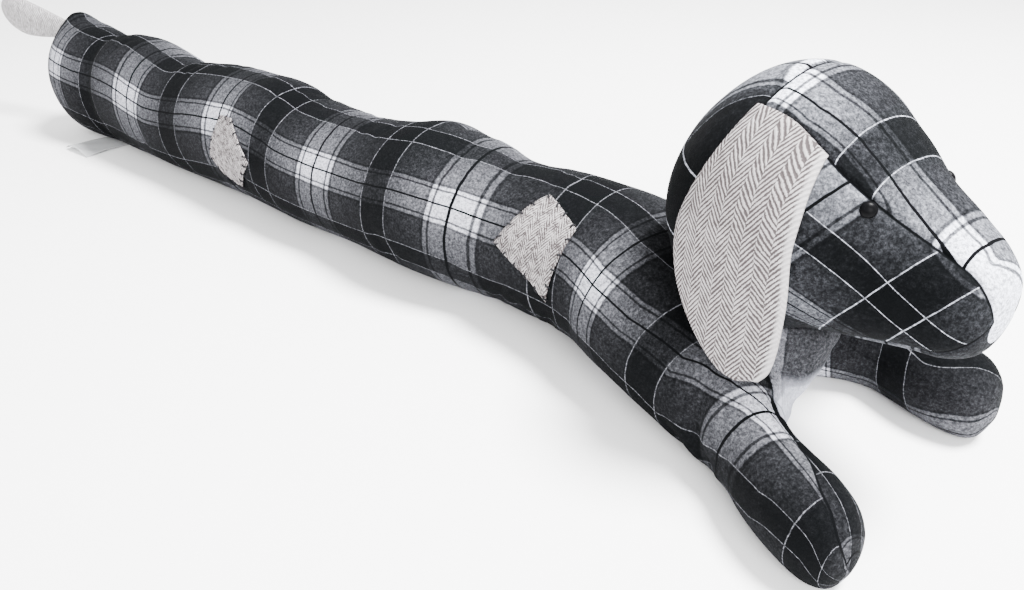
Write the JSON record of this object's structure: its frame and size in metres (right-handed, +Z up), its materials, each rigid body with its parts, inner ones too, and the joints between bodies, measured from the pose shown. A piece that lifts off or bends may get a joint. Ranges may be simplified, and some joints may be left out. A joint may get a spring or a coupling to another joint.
{
  "type": "draught excluder",
  "caption": "Long filled draught excluder shaped as a lying dog, in checked cloth, with a raised head, hanging herringbone ears, a short tail and sewn-on patches.",
  "frame": {"origin": "on the floor, under the middle of the bounding box", "axes": "+X along the tube towards the head and paws, +Z up, -Y towards the dog's right side, which carries the patches"},
  "size_m": [1.028, 0.2066, 0.2045],
  "materials": {
    "check_cloth": "brushed woven check in black, grey and white",
    "herringbone_cloth": "woven herringbone in cream and grey-brown",
    "label_cloth": "plain woven tape",
    "eye": "satin black"
  },
  "bodies": {
    "root": {"body": "check_cloth", "head": "check_cloth", "ear_right": "herringbone_cloth", "ear_left": "herringbone_cloth", "tail": "herringbone_cloth", "patch_shoulder": "herringbone_cloth", "patch_rear": "herringbone_cloth", "eye_right": "eye", "eye_left": "eye", "care_label": "label_cloth"}
  },
  "joints": []
}
